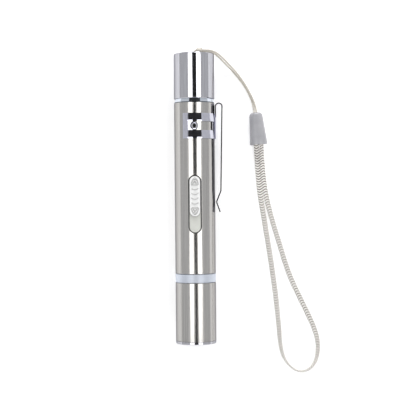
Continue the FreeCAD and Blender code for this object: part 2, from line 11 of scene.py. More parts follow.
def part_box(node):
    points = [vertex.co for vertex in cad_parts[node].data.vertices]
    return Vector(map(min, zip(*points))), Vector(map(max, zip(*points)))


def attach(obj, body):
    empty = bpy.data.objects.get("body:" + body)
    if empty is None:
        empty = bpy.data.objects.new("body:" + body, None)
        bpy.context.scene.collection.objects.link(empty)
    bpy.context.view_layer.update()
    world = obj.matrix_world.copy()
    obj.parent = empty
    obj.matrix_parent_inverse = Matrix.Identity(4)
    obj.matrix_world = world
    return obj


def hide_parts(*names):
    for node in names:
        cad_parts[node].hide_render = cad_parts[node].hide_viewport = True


bl_info = {
    "name": "Pen torch looks",
    "version": (1, 0, 0),
    "blender": (4, 5, 0),
    "location": "3D Viewport > Sidebar > Pen torch",
    "description": "Finishes, strap and studio for a pen torch whose parts come from CAD",
    "category": "Object",
}

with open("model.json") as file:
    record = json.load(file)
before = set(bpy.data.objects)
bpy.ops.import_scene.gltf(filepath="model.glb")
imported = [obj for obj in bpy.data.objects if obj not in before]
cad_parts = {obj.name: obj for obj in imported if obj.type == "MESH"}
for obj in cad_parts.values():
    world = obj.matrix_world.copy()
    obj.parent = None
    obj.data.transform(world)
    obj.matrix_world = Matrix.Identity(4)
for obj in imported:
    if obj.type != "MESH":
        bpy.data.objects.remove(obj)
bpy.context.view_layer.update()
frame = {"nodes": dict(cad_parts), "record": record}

MM = 0.001
FULL_TURN = 2 * math.pi

# The torch's axis, from the box round the head tube
HEAD_LOW, HEAD_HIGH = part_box("head_tube")
AXIS_X = (HEAD_LOW.x + HEAD_HIGH.x) / 2
AXIS_Z = (HEAD_LOW.z + HEAD_HIGH.z) / 2

# Route of the thin cord, in metres: from the ferrule to the tail, round the pin and back.
CORD_ROUTE = [
    (0.02050, 0.03000, 0.00185),
    (0.02010, 0.03255, 0.00120),
    (0.01890, 0.03567, 0.00096),
    (0.01722, 0.03887, 0.00098),
    (0.01540, 0.04195, 0.00088),
    (0.01285, 0.04520, 0.00080),
    (0.01015, 0.04785, 0.00240),
    (0.00775, 0.04990, 0.00520),
    (0.00515, 0.05130, 0.00760),
    (0.00140, 0.05140, 0.00800),
    (-0.00135, 0.05135, 0.00830),
    (-0.00135, 0.04810, 0.00848),
    (-0.00135, 0.04810, 0.00658),
    (-0.00135, 0.05110, 0.00690),
    (0.00120, 0.05120, 0.00715),
    (0.00500, 0.05090, 0.00680),
    (0.00740, 0.04930, 0.00440),
    (0.00960, 0.04740, 0.00150),
    (0.01230, 0.04480, 0.00036),
    (0.01490, 0.04160, 0.00036),
    (0.01690, 0.03870, 0.00036),
    (0.01850, 0.03550, 0.00036),
    (0.01940, 0.03260, 0.00090),
    (0.01970, 0.03000, 0.00185),
]

# Route of the braided strap, in metres, with how far the braid is turned on edge at each point.
STRAP_ROUTE = [
    (0.0201, 0.0206, 0.0023, 10),
    (0.02045, 0.0165, 0.0014, 5),
    (0.0208, 0.0100, 0.0005, 0),
    (0.0214, 0.0020, 0.0005, 0),
    (0.0229, -0.0075, 0.0005, 0),
    (0.0250, -0.0210, 0.0005, 8),
    (0.0266, -0.0330, 0.0005, 12),
    (0.0277, -0.0445, 0.0006, 30),
    (0.0283, -0.0535, 0.0008, 48),
    (0.0303, -0.0584, 0.0010, 78),
    (0.0350, -0.0618, 0.0010, 92),
    (0.0400, -0.0596, 0.0010, 110),
    (0.0418, -0.0530, 0.0008, 140),
    (0.0406, -0.0465, 0.0006, 160),
    (0.0365, -0.0378, 0.0005, 172),
    (0.0315, -0.0273, 0.0005, 178),
    (0.0280, -0.0155, 0.0005, 180),
    (0.0253, -0.0065, 0.0005, 184),
    (0.02325, 0.0025, 0.0006, 190),
    (0.0225, 0.0105, 0.0008, 208),
    (0.0221, 0.0165, 0.0015, 222),
    (0.0222, 0.0206, 0.0023, 240),
]

# The ferrule's two ends, and half of its width and height at each
FERRULE_MOUTH = Vector((21.1, 18.8, 2.35)) * MM
FERRULE_NECK = Vector((20.1, 30.0, 1.85)) * MM
FERRULE_MOUTH_HALF = Vector((3.1, 2.3)) * MM
FERRULE_NECK_HALF = Vector((2.25, 1.8)) * MM

# The thin cord's plies, their radius and the knot's as shares of its diameter, and how finely it is drawn
PLIES = 3
PLY_RADIUS = 0.27
KNOT_RADIUS = 0.45
STEPS_PER_LAY = 12
CORD_SIDES = 8


# ---------------------------------------------------------------- settings


class StageSettings(bpy.types.PropertyGroup):
    camera_height: bpy.props.FloatProperty(
        name="Camera height", description="Above the torch's axis", default=0.386, unit="LENGTH"
    )
    lens: bpy.props.FloatProperty(name="Lens", description="Focal length in mm", default=100.26)
    look_x: bpy.props.FloatProperty(
        name="Middle of view", description="To the clip's side of the torch", default=0.00172, unit="LENGTH"
    )
    look_y: bpy.props.FloatProperty(
        name="View along torch", description="From the torch's middle", default=-0.0005, unit="LENGTH"
    )
    roll: bpy.props.FloatProperty(
        name="Roll", description="Turn of the camera", default=math.radians(-0.504), subtype="ANGLE"
    )
    light_height: bpy.props.FloatProperty(
        name="Light height", description="Height of the soft boxes", default=0.60, unit="LENGTH"
    )
    left_light: bpy.props.FloatVectorProperty(
        name="Left soft box",
        description="Its two edges, to either side of the torch",
        size=2,
        default=(-0.385, -0.100),
    )
    right_light: bpy.props.FloatVectorProperty(
        name="Right soft box",
        description="Its two edges, to either side of the torch",
        size=2,
        default=(0.145, 0.470),
    )
    light_length: bpy.props.FloatProperty(
        name="Light length", description="Length of each soft box", default=0.30, unit="LENGTH"
    )
    card_length: bpy.props.FloatProperty(
        name="Card length", description="Of the black card over the soft boxes", default=2.4, unit="LENGTH"
    )
    light_radiance: bpy.props.FloatProperty(
        name="Light", description="Brightness of the two soft boxes overhead", default=3.1
    )
    end_light: bpy.props.FloatVectorProperty(
        name="End lights",
        description="Brightness of the soft boxes past the tail and past the lamp end",
        size=2,
        default=(11.0, 5.0),
    )
    end_distance: bpy.props.FloatProperty(
        name="End distance", description="From the torch to each end light", default=1.1, unit="LENGTH"
    )
    end_size: bpy.props.FloatVectorProperty(
        name="End light size", description="Width and height of each end light", size=2, default=(0.8, 0.3)
    )
    end_height: bpy.props.FloatProperty(
        name="End height", description="Height of the end lights", default=0.48, unit="LENGTH"
    )
    end_shift: bpy.props.FloatProperty(
        name="End shift", description="Of the end lights, to the strap's side", default=0.1, unit="LENGTH"
    )
    room: bpy.props.FloatProperty(name="Room", description="Brightness of the grey room", default=0.73)
    table: bpy.props.FloatProperty(
        name="Table", description="Brightness of the back-lit table", default=0.36
    )
    table_width: bpy.props.FloatProperty(
        name="Table width", description="Of the square table", default=6.0, unit="LENGTH"
    )


class StrapSettings(bpy.types.PropertyGroup):
    width: bpy.props.FloatProperty(name="Width", description="Of the braid", default=0.0020, unit="LENGTH")
    thickness: bpy.props.FloatProperty(
        name="Thickness", description="Of the braid", default=0.00095, unit="LENGTH"
    )
    plait: bpy.props.FloatProperty(
        name="Plait", description="From one strand of the braid to the next", default=0.00092, unit="LENGTH"
    )
    cord: bpy.props.FloatProperty(
        name="Cord", description="Thin cord's diameter", default=0.0007, unit="LENGTH"
    )
    lay: bpy.props.FloatProperty(
        name="Lay", description="Length of one turn of the thin cord's twist", default=0.0019, unit="LENGTH"
    )
    shoulder: bpy.props.FloatProperty(
        name="Shoulder", description="Rounding of the ferrule's narrow end", default=0.0013, unit="LENGTH"
    )


class KnobSettings(bpy.types.PropertyGroup):
    edge: bpy.props.FloatProperty(
        name="Edge", description="Rounding of the knob's edge", default=0.00032, unit="LENGTH"
    )
    lift: bpy.props.FloatProperty(
        name="Lift", description="Gap between the knob and its track", default=0.0001, unit="LENGTH"
    )
    rib_spacing: bpy.props.FloatProperty(
        name="Rib spacing", description="Between the curved ribs", default=0.00162, unit="LENGTH"
    )
    rib_height: bpy.props.FloatProperty(
        name="Rib height", description="Of the ribs and marks", default=0.00026, unit="LENGTH"
    )
    rib_width: bpy.props.FloatProperty(
        name="Rib width", description="Of the ribs and marks", default=0.00046, unit="LENGTH"
    )


# ---------------------------------------------------------------- small tools


def linear(text):
    """An sRGB hex colour as linear red, green, blue and 1."""
    parts = [int(text[i : i + 2], 16) / 255 for i in (1, 3, 5)]
    return [c / 12.92 if c <= 0.04045 else ((c + 0.055) / 1.055) ** 2.4 for c in parts] + [1.0]


def add(tree, kind, inputs=None, **settings):
    """Adds a node with its settings, and its inputs as values or as links from other nodes' outputs."""
    made = tree.nodes.new(kind)
    for name, value in settings.items():
        setattr(made, name, value)
    for key, value in (inputs or {}).items():
        if isinstance(value, bpy.types.NodeSocket):
            tree.links.new(value, made.inputs[key])
        else:
            made.inputs[key].default_value = value
    return made


def new_material(name, **values):
    """A material with one Principled shader, and the object's own coordinates, ready for its pattern."""
    material = bpy.data.materials.new(name)
    material.use_nodes = True
    tree = material.node_tree
    tree.nodes.clear()
    shader = add(tree, "ShaderNodeBsdfPrincipled", values)
    add(tree, "ShaderNodeOutputMaterial", {"Surface": shader.outputs[0]})
    place = add(tree, "ShaderNodeTexCoord")
    return material, tree, shader, place.outputs["Object"]


def stretched(tree, place, spacing, scale=(1, 1, 1), detail=3.0, roughness=0.5):
    """Noise whose grains are spacing metres across, stretched by scale."""
    mapping = add(tree, "ShaderNodeMapping", {"Vector": place, "Scale": [s / spacing for s in scale]})
    noise = add(
        tree,
        "ShaderNodeTexNoise",
        {"Vector": mapping.outputs[0], "Scale": 1.0, "Detail": detail, "Roughness": roughness},
    )
    return noise.outputs["Fac"]


def ramp(tree, value, low, high, low_colour, high_colour):
    """A blend from one colour to another as value goes from low to high."""
    made = add(tree, "ShaderNodeValToRGB", {"Fac": value})
    made.color_ramp.elements[0].position = low
    made.color_ramp.elements[0].color = low_colour
    made.color_ramp.elements[1].position = high
    made.color_ramp.elements[1].color = high_colour
    return made.outputs["Color"]


def spread(tree, value, low, high):
    """value, from 0 to 1, as a number from low to high."""
    made = add(tree, "ShaderNodeMapRange", {"Value": value, "To Min": low, "To Max": high})
    return made.outputs[0]


def bump(tree, shader, height, distance, strength=1.0):
    """A relief too fine to model, distance metres deep."""
    made = add(tree, "ShaderNodeBump", {"Height": height, "Distance": distance, "Strength": strength})
    tree.links.new(made.outputs[0], shader.inputs["Normal"])


# ---------------------------------------------------------------- materials


def brushed_stainless():
    """Stainless steel brushed along the tube: fine lines that smear the light round the tube."""
    material, tree, shader, place = new_material(
        "brushed_stainless", Metallic=1.0, **{"Specular Tint": linear("#A8A8AC")}
    )
    # Real lines are some 0.05 mm apart; they are drawn 0.3 mm apart so that they show.
    lines = stretched(tree, place, 0.0003, (1, 0.008, 1), detail=4.0, roughness=0.7)
    colour = ramp(tree, lines, 0.3, 0.7, linear("#A9A7A4"), linear("#C2C0BD"))
    tree.links.new(colour, shader.inputs["Base Color"])
    tree.links.new(spread(tree, lines, 0.13, 0.24), shader.inputs["Roughness"])
    bump(tree, shader, lines, 0.000004, 0.5)
    return material


def polished_stainless():
    """Stainless steel polished to a mirror, with the slight waviness of a drawn tube."""
    material, tree, shader, place = new_material(
        "polished_stainless", Metallic=1.0, **{"Specular Tint": linear("#A8A8AC")}
    )
    waves = stretched(tree, place, 0.006, (1, 0.2, 1), detail=1.0)
    scuffs = stretched(tree, place, 0.0004, (1, 0.05, 1), detail=3.0)
    colour = ramp(tree, scuffs, 0.35, 0.65, linear("#B7B7BC"), linear("#C1C1C6"))
    tree.links.new(colour, shader.inputs["Base Color"])
    tree.links.new(spread(tree, scuffs, 0.05, 0.10), shader.inputs["Roughness"])
    bump(tree, shader, waves, 0.00002, 0.4)
    return material


def satin_aluminium():
    """Aluminium, blasted with fine beads and anodised clear: an even, cool, soft sheen."""
    material, tree, shader, place = new_material("bead_blasted_aluminium", Metallic=1.0)
    beads = stretched(tree, place, 0.00025, detail=2.0)
    colour = ramp(tree, beads, 0.3, 0.7, linear("#CBD1DC"), linear("#D6DBE4"))
    tree.links.new(colour, shader.inputs["Base Color"])
    tree.links.new(spread(tree, beads, 0.42, 0.56), shader.inputs["Roughness"])
    bump(tree, shader, beads, 0.00001, 0.4)
    return material


def bright_aluminium():
    """Aluminium turned with a diamond tool and anodised clear: bright, cool and mirror-like."""
    material, tree, shader, place = new_material("bright_turned_aluminium", Metallic=1.0)
    turning = stretched(tree, place, 0.0002, (0.02, 1, 0.02), detail=3.0)
    colour = ramp(tree, turning, 0.3, 0.7, linear("#CBD1DB"), linear("#D6DCE4"))
    tree.links.new(colour, shader.inputs["Base Color"])
    tree.links.new(spread(tree, turning, 0.04, 0.09), shader.inputs["Roughness"])
    bump(tree, shader, turning, 0.000003, 0.4)
    return material


def spring_steel():
    """Spring steel, tumbled and nickel plated: a cool satin that still mirrors softly."""
    material, tree, shader, place = new_material("nickel_plated_spring_steel", Metallic=1.0)
    grain = stretched(tree, place, 0.0003, (1, 0.2, 1), detail=3.0)
    colour = ramp(tree, grain, 0.3, 0.7, linear("#C2C2CD"), linear("#CFCFD9"))
    tree.links.new(colour, shader.inputs["Base Color"])
    tree.links.new(spread(tree, grain, 0.06, 0.11), shader.inputs["Roughness"])
    bump(tree, shader, grain, 0.000006, 0.4)
    return material


def moulded(name, dark, light, rough_low, rough_high, grain=0.0004, ior=1.5):
    """A moulded plastic: an even colour with a faint spark-eroded grain."""
    material, tree, shader, place = new_material(name, IOR=ior)
    grains = stretched(tree, place, grain, detail=2.0)
    blotches = stretched(tree, place, 0.004, detail=2.0)
    colour = ramp(tree, blotches, 0.3, 0.7, linear(dark), linear(light))
    tree.links.new(colour, shader.inputs["Base Color"])
    tree.links.new(spread(tree, grains, rough_low, rough_high), shader.inputs["Roughness"])
    bump(tree, shader, grains, 0.00001, 0.3)
    return material


def white_abs_painted_shade():
    """The knob's white ABS: satin, with painted shade beside its marks, along its edge and on its
    underside.
    """
    material, tree, shader, place = new_material("knob_abs_painted_shade", IOR=1.5)
    # This attribute is painted shade, 0 to 1; the ramp's grey end is the shade's colour.
    painted_shade = add(tree, "ShaderNodeAttribute", attribute_name="painted_shade").outputs["Fac"]
    patches = spread(tree, stretched(tree, place, 0.0006, detail=3.0), 0.8, 1.2)
    tone = add(tree, "ShaderNodeMath", {0: painted_shade, 1: patches}, operation="MULTIPLY").outputs[0]
    colour = ramp(tree, tone, 0.0, 1.0, linear("#F8F8F7"), linear("#4E4C49"))
    tree.links.new(colour, shader.inputs["Base Color"])
    tree.links.new(spread(tree, tone, 0.30, 0.60), shader.inputs["Roughness"])
    bump(tree, shader, patches, 0.00001, 0.3)
    return material


def plain_metal(name, dark, light, rough_low, rough_high):
    """A small metal part: tinned, plated or turned, with a fine mottled surface."""
    material, tree, shader, place = new_material(name, Metallic=1.0)
    mottle = stretched(tree, place, 0.0008, detail=3.0)
    tree.links.new(ramp(tree, mottle, 0.3, 0.7, linear(dark), linear(light)), shader.inputs["Base Color"])
    tree.links.new(spread(tree, mottle, rough_low, rough_high), shader.inputs["Roughness"])
    bump(tree, shader, mottle, 0.00001, 0.3)
    return material


def clear_resin(name, tint, transmission, roughness, ior):
    """Clear or tinted cast resin with a few bubbles' worth of haze."""
    material, tree, shader, place = new_material(name, IOR=ior, **{"Transmission Weight": transmission})
    haze = stretched(tree, place, 0.002, detail=2.0)
    colour = ramp(tree, haze, 0.3, 0.7, linear(tint), linear("#F4F6F8"))
    tree.links.new(colour, shader.inputs["Base Color"])
    tree.links.new(spread(tree, haze, roughness, roughness + 0.05), shader.inputs["Roughness"])
    return material


def nylon_braid():
    """Off-white nylon yarn: matt, with a soft sheen, and painted shade in the crevices where the strands
    dive under each other.
    """
    material, tree, shader, place = new_material(
        "braided_nylon_yarn", Roughness=0.85, IOR=1.53, **{"Sheen Weight": 0.2, "Sheen Roughness": 0.5}
    )
    depth = add(tree, "ShaderNodeAttribute", attribute_name="strand").outputs["Fac"]
    blotches = spread(tree, stretched(tree, place, 0.0007, detail=3.0), 0.75, 1.25)
    painted_crevice_shade = add(tree, "ShaderNodeMath", {0: depth, 1: blotches}, operation="MULTIPLY").outputs[0]
    # The ramp's dark end is painted shade, laid where the strand height is low.
    colour = ramp(tree, painted_crevice_shade, 0.42, 0.60, linear("#5A4D42"), linear("#FDFAF5"))
    tree.links.new(colour, shader.inputs["Base Color"])
    fibres = stretched(tree, place, 0.00008, detail=2.0)
    bump(tree, shader, fibres, 0.00002, 0.4)
    return material


def nylon_cord():
    """Fine nylon cord of three twisted plies, cream, with fuzz too fine to see singly."""
    material, tree, shader, place = new_material(
        "twisted_nylon_cord", Roughness=0.8, IOR=1.53, **{"Sheen Weight": 0.2, "Sheen Roughness": 0.5}
    )
    yarn = stretched(tree, place, 0.0003, detail=3.0)
    colour = ramp(tree, yarn, 0.3, 0.7, linear("#C9C3B7"), linear("#E6E1D8"))
    tree.links.new(colour, shader.inputs["Base Color"])
    bump(tree, shader, yarn, 0.00005, 0.5)
    return material


FINISHES = {
    "brushed_steel": brushed_stainless,
    "polished_steel": polished_stainless,
    "mirror_steel": polished_stainless,
    "satin_aluminium": satin_aluminium,
    "polished_aluminium": bright_aluminium,
    "clip_steel": spring_steel,
    "white_plastic": lambda: moulded("moulded_white_abs", "#F4F4F3", "#FAFAFA", 0.28, 0.40),
    "black_plastic": lambda: moulded("moulded_black_abs", "#161617", "#202022", 0.35, 0.5),
    "chip_black": lambda: moulded("moulded_chip_epoxy", "#121213", "#1C1C1E", 0.45, 0.6),
    "rubber_seal": lambda: moulded("black_silicone", "#141414", "#1B1B1B", 0.5, 0.65, ior=1.41),
    "ferrule_pvc": lambda: moulded("moulded_grey_pvc", "#A6A6AA", "#B2B1B5", 0.18, 0.28, ior=1.53),
    "circuit_board": lambda: moulded("solder_mask_on_glass_epoxy", "#0C4A24", "#12592C", 0.25, 0.35),
    "battery_film": lambda: moulded("blue_shrink_film", "#1B3F8F", "#2550A8", 0.2, 0.3),
    "wire_cover": lambda: moulded("red_wire_pvc", "#A31515", "#B51C1C", 0.35, 0.45),
    "tinned_metal": lambda: plain_metal("tinned_steel", "#C4C4C2", "#D6D6D4", 0.15, 0.3),
    "battery_steel": lambda: plain_metal("nickel_plated_can", "#B8B8B6", "#C8C8C6", 0.2, 0.35),
    "brass": lambda: plain_metal("turned_brass", "#C69A4A", "#D8AE60", 0.15, 0.3),
    "gold_contact": lambda: plain_metal("gold_flash", "#E0B45C", "#EEC878", 0.12, 0.22),
    "clear_window": lambda: clear_resin("clear_acrylic", "#EEF2F4", 1.0, 0.02, 1.49),
    "clear_epoxy": lambda: clear_resin("clear_lamp_epoxy", "#F2F0E2", 0.85, 0.05, 1.54),
    "tinted_epoxy": lambda: clear_resin("violet_lamp_epoxy", "#D8D2EE", 0.85, 0.05, 1.54),
    "nylon_cord": nylon_cord,
    "nylon_braid": nylon_braid,
}
# The track is the knob's white ABS, rougher and greyer all over: the grey is painted shade for the recess
# it lies in.
SHADED_TRACK = {"switch_track": lambda: moulded("track_abs_painted_shade", "#CFD0C9", "#DCDDD6", 0.35, 0.50)}
made_finishes = {}


def finish_for(slot):
    """The material of a record slot, made once."""
    if slot not in made_finishes:
        made_finishes[slot] = FINISHES[slot]()
    return made_finishes[slot]


def add_piece(name, mesh, body, slot):
    """A finished mesh as a piece that rides a body and takes its finish from a record slot."""
    piece = bpy.data.objects.new(name, mesh)
    bpy.context.scene.collection.objects.link(piece)
    mesh.materials.clear()
    mesh.materials.append(finish_for(slot))
    for polygon in mesh.polygons:
        polygon.use_smooth = True
    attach(piece, body)
    return piece


def route_curve(points):
    """A smooth open curve without thickness that has a route's points as its control points."""
    data = bpy.data.curves.new("route", "CURVE")
    data.dimensions = "3D"
    data.resolution_u = 24
    spline = data.splines.new("NURBS")
    spline.points.add(len(points) - 1)
    for control, point in zip(spline.points, points):
        control.co = (*point, 1)
    spline.order_u = 3
    spline.use_endpoint_u = True
    return bpy.data.objects.new("route", data)


def centreline(points):
    """The places along a route's smooth curve."""
    route = route_curve(points)
    mesh = bpy.data.meshes.new_from_object(route)
    line = [v.co.copy() for v in mesh.vertices]
    bpy.data.curves.remove(route.data)
    bpy.data.meshes.remove(mesh)
    return line


# ---------------------------------------------------------------- operators


class TORCH_OT_camera(bpy.types.Operator):
    """Looks straight down on the torch from above its middle"""

    bl_idname = "torch.camera"
    bl_label = "Camera"

    def execute(self, context):
        stage = context.scene.torch_stage
        data = bpy.data.cameras.new("camera")
        data.sensor_width = 36
        data.lens = stage.lens
        data.clip_start = 0.01
        data.clip_end = 20
        camera = bpy.data.objects.new("camera", data)
        camera.location = (AXIS_X + stage.look_x, stage.look_y, AXIS_Z + stage.camera_height)
        camera.rotation_euler = Euler((0, 0, stage.roll))
        context.scene.collection.objects.link(camera)
        context.scene.camera = camera
        return {"FINISHED"}


class TORCH_OT_lanyard_cord(bpy.types.Operator):
    """The thin doubled cord between the tail and the ferrule, and its knot"""

    bl_idname = "torch.lanyard_cord"
    bl_label = "Lanyard cord"

    def execute(self, context):
        strap = context.scene.torch_strap
        line = centreline(CORD_ROUTE)
        ply = strap.cord * PLY_RADIUS
        sizes = {"Lay": strap.lay, "Offset": strap.cord / 2 - ply, "Ply radius": ply}
        mesh = laid(CORD_ROUTE, twisted_plies(finish_for("nylon_cord")), sizes)
        piece = add_piece("thin_cord", mesh, "tail_cap", "nylon_cord")
        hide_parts("lanyard_cord")
        bm = bmesh.new()
        sweep(bm, knot_path(line, strap.cord), strap.cord * KNOT_RADIUS, CORD_SIDES)
        knot = add_piece("cord_knot", mesh_of(bm, "cord_knot"), "tail_cap", "nylon_cord")
        return {"FINISHED"}


def twisted_plies(material):
    """Geometry nodes that lay three plies along a curve, each winding round it once in each lay."""
    tree = bpy.data.node_groups.new("twisted_plies", "GeometryNodeTree")
    tree.interface.new_socket("Route", in_out="INPUT", socket_type="NodeSocketGeometry")
    for name in ("Lay", "Offset", "Ply radius"):
        tree.interface.new_socket(name, in_out="INPUT", socket_type="NodeSocketFloat").subtype = "DISTANCE"
    tree.interface.new_socket("Plies", in_out="OUTPUT", socket_type="NodeSocketGeometry")
    given = add(tree, "NodeGroupInput").outputs

    step = add(tree, "ShaderNodeMath", {0: given["Lay"], 1: STEPS_PER_LAY}, operation="DIVIDE").outputs[0]
    route = add(tree, "GeometryNodeResampleCurve", {"Curve": given["Route"], "Length": step}, mode="LENGTH")
    spline = {"Geometry": route.outputs[0], "Amount": PLIES}
    copies = add(tree, "GeometryNodeDuplicateElements", spline, domain="SPLINE").outputs
    along = add(tree, "GeometryNodeSplineParameter").outputs["Length"]
    turns = add(tree, "ShaderNodeMath", {0: along, 1: given["Lay"]}, operation="DIVIDE").outputs[0]
    which = copies["Duplicate Index"]
    phase = add(tree, "ShaderNodeMath", {0: which, 1: PLIES}, operation="DIVIDE").outputs[0]
    turned = add(tree, "ShaderNodeMath", {0: turns, 1: phase}, operation="ADD").outputs[0]
    angle = add(tree, "ShaderNodeMath", {0: turned, 1: FULL_TURN}, operation="MULTIPLY").outputs[0]
    normal = add(tree, "GeometryNodeInputNormal").outputs[0]
    ahead = add(tree, "GeometryNodeInputTangent").outputs[0]
    side = add(tree, "ShaderNodeVectorRotate", {"Vector": normal, "Axis": ahead, "Angle": angle}).outputs[0]
    outward = {0: side, "Scale": given["Offset"]}
    offset = add(tree, "ShaderNodeVectorMath", outward, operation="SCALE").outputs[0]
    moved = {"Geometry": copies["Geometry"], "Offset": offset}
    wound = add(tree, "GeometryNodeSetPosition", moved).outputs[0]
    circle = {"Resolution": CORD_SIDES, "Radius": given["Ply radius"]}
    section = add(tree, "GeometryNodeCurvePrimitiveCircle", circle).outputs[0]
    swept = {"Curve": wound, "Profile Curve": section, "Fill Caps": True}
    plies = add(tree, "GeometryNodeCurveToMesh", swept).outputs[0]
    real = add(tree, "GeometryNodeRealizeInstances", {"Geometry": plies}).outputs[0]
    finished = add(tree, "GeometryNodeSetMaterial", {"Geometry": real, "Material": material}).outputs[0]
    add(tree, "NodeGroupOutput", {"Plies": finished})
    return tree


def laid(points, tree, sizes):
    """The plain mesh that a geometry nodes tree makes along a route."""
    route = route_curve(points)
    bpy.context.scene.collection.objects.link(route)
    layer = route.modifiers.new("laid", "NODES")
    layer.node_group = tree
    for socket in tree.interface.items_tree:
        if socket.name in sizes:
            layer[socket.identifier] = sizes[socket.name]
    evaluated = route.evaluated_get(bpy.context.evaluated_depsgraph_get())
    baked = bpy.data.meshes.new_from_object(evaluated)
    bm = bmesh.new()
    bm.from_mesh(baked)
    bpy.data.meshes.remove(baked)
    bpy.data.curves.remove(route.data)
    bpy.data.node_groups.remove(tree)
    return mesh_of(bm, "laid")


def knot_path(line, cord):
    """Turns of cord round both strands, where they come over the tail."""
    steps, turns = 48, 3
    knot_length = cord * 2.1
    first = min(line[: len(line) // 2], key=lambda p: abs(p.x - 0.5 * MM))
    second = min(line[len(line) // 2 :], key=lambda p: (p - first).length)
    middle = (first + second) / 2
    high = (first - second).length / 2 + cord * 0.85
    path = []
    for n in range(steps + 1):
        turn = FULL_TURN * turns * n / steps
        along = (n / steps - 0.5) * knot_length
        # No two turns are quite as wide as each other, as in a knot tied by hand.
        wide = cord * (0.92 + 0.12 * math.sin(turn * 0.37 + 1))
        path.append(middle + Vector((along, math.cos(turn) * wide, math.sin(turn) * high)))
    return path


def sweep(bm, path, radius, sides):
    """A closed round tube along a path."""
    rings = []
    side = Vector((0.2, 0.1, 1))
    for i, point in enumerate(path):
        ahead = (path[min(i + 1, len(path) - 1)] - path[max(i - 1, 0)]).normalized()
        side = (side - ahead * side.dot(ahead)).normalized()
        other = ahead.cross(side)
        ring = []
        for k in range(sides):
            angle = FULL_TURN * k / sides
            ring.append(bm.verts.new(point + (side * math.cos(angle) + other * math.sin(angle)) * radius))
        rings.append(ring)
    skin(bm, rings)


def skin(bm, rings):
    """Faces between rings of equally many points, and a face over each end."""
    for a, b in zip(rings, rings[1:]):
        for k in range(len(a)):
            bm.faces.new((a[k], a[(k + 1) % len(a)], b[(k + 1) % len(a)], b[k]))
    for ring in (rings[0], rings[-1]):
        if (ring[0].co - ring[len(ring) // 2].co).length > 1e-7:
            bm.faces.new(ring)


def mesh_of(bm, name):
    """Turns the faces outward and makes the mesh."""
    bmesh.ops.recalc_face_normals(bm, faces=bm.faces)
    mesh = bpy.data.meshes.new(name)
    bm.to_mesh(mesh)
    bm.free()
    return mesh


class TORCH_OT_wrist_strap(bpy.types.Operator):
    """The flat braided loop, turned on edge where it goes round"""

    bl_idname = "torch.wrist_strap"
    bl_label = "Wrist strap"

    def execute(self, context):
        strap = context.scene.torch_strap
        line = centreline([point[:3] for point in STRAP_ROUTE])
        mesh = braid_mesh(line, strap)
        piece = add_piece("braided_strap", mesh, "tail_cap", "nylon_braid")
        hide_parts("wrist_strap")
        return {"FINISHED"}


def evenly(line, step):
    """Places about step apart along a line, each with its distance along it and the way ahead."""
    along = [0.0]
    for a, b in zip(line, line[1:]):
        along.append(along[-1] + (b - a).length)
    count = max(2, round(along[-1] / step))
    places = []
    i = 0
    for n in range(count + 1):
        at = along[-1] * n / count
        while i < len(line) - 2 and along[i + 1] < at:
            i += 1
        share = (at - along[i]) / max(along[i + 1] - along[i], 1e-9)
        ahead = (line[min(i + 2, len(line) - 1)] - line[max(i - 1, 0)]).normalized()
        places.append((line[i].lerp(line[i + 1], min(share, 1.0)), at, ahead))
    return places


def braid_mesh(line, strap):
    """A flat tubular braid along a line: an oval section with the strands' relief on both faces."""
    rings_per_plait, sides = 8, 32
    # An oval with flattened sides, and its size between two strands as shares of the full size
    squareness = 0.8
    least_wide, least_thick = 0.84, 0.55
    places = evenly(line, strap.plait / rings_per_plait)
    turns = []
    for x, y, z, degrees in STRAP_ROUTE:
        nearest = min(places, key=lambda place: (place[0] - Vector((x, y, z))).length)
        turns.append((nearest[1], math.radians(degrees)))
    bm = bmesh.new()
    strand = bm.verts.layers.float.new("strand")
    rings = []
    for point, at, ahead in places:
        level = Vector((ahead.y, -ahead.x, 0)).normalized()
        wide = Matrix.Rotation(turn_at(turns, at), 3, ahead) @ level
        thick = ahead.cross(wide)
        ring = []
        for k in range(sides):
            angle = FULL_TURN * (k + 0.5) / sides
            across = math.copysign(abs(math.cos(angle)) ** squareness, math.cos(angle))
            through = math.copysign(abs(math.sin(angle)) ** squareness, math.sin(angle))
            height = strand_height(across, at / strap.plait, through)
            half_wide = strap.width / 2 * (least_wide + (1 - least_wide) * height)
            half_thick = strap.thickness / 2 * (least_thick + (1 - least_thick) * height)
            vertex = bm.verts.new(point + wide * (across * half_wide) + thick * (through * half_thick))
            # The braid's material paints shade in the crevices from this height.
            vertex[strand] = height
            ring.append(vertex)
        rings.append(ring)
    skin(bm, rings)
    return mesh_of(bm, "braided_strap")


def turn_at(turns, at):
    """How far the braid is turned at a distance along it, eased between the route's points."""
    for (low, start), (high, end) in zip(turns, turns[1:]):
        if at <= high:
            share = min(max((at - low) / max(high - low, 1e-9), 0), 1)
            return start + (end - start) * share * share * (3 - 2 * share)
    return turns[-1][1]


def strand_height(across, along, through):
    """Height of the braid's strands, 0 to 1: slanting ridges that meet in a V along the middle."""
    lean, seam_width, seam_height = 0.55, 0.15, 0.5
    # The strands of the upper face lie half a plait on from those of the lower one.
    slant = along + lean * abs(across) + (0.5 if through > 0 else 0.0)
    ridge = abs(math.cos(math.pi * slant))
    seam = min(1.0, seam_height + abs(across) / seam_width)
    return ridge * seam


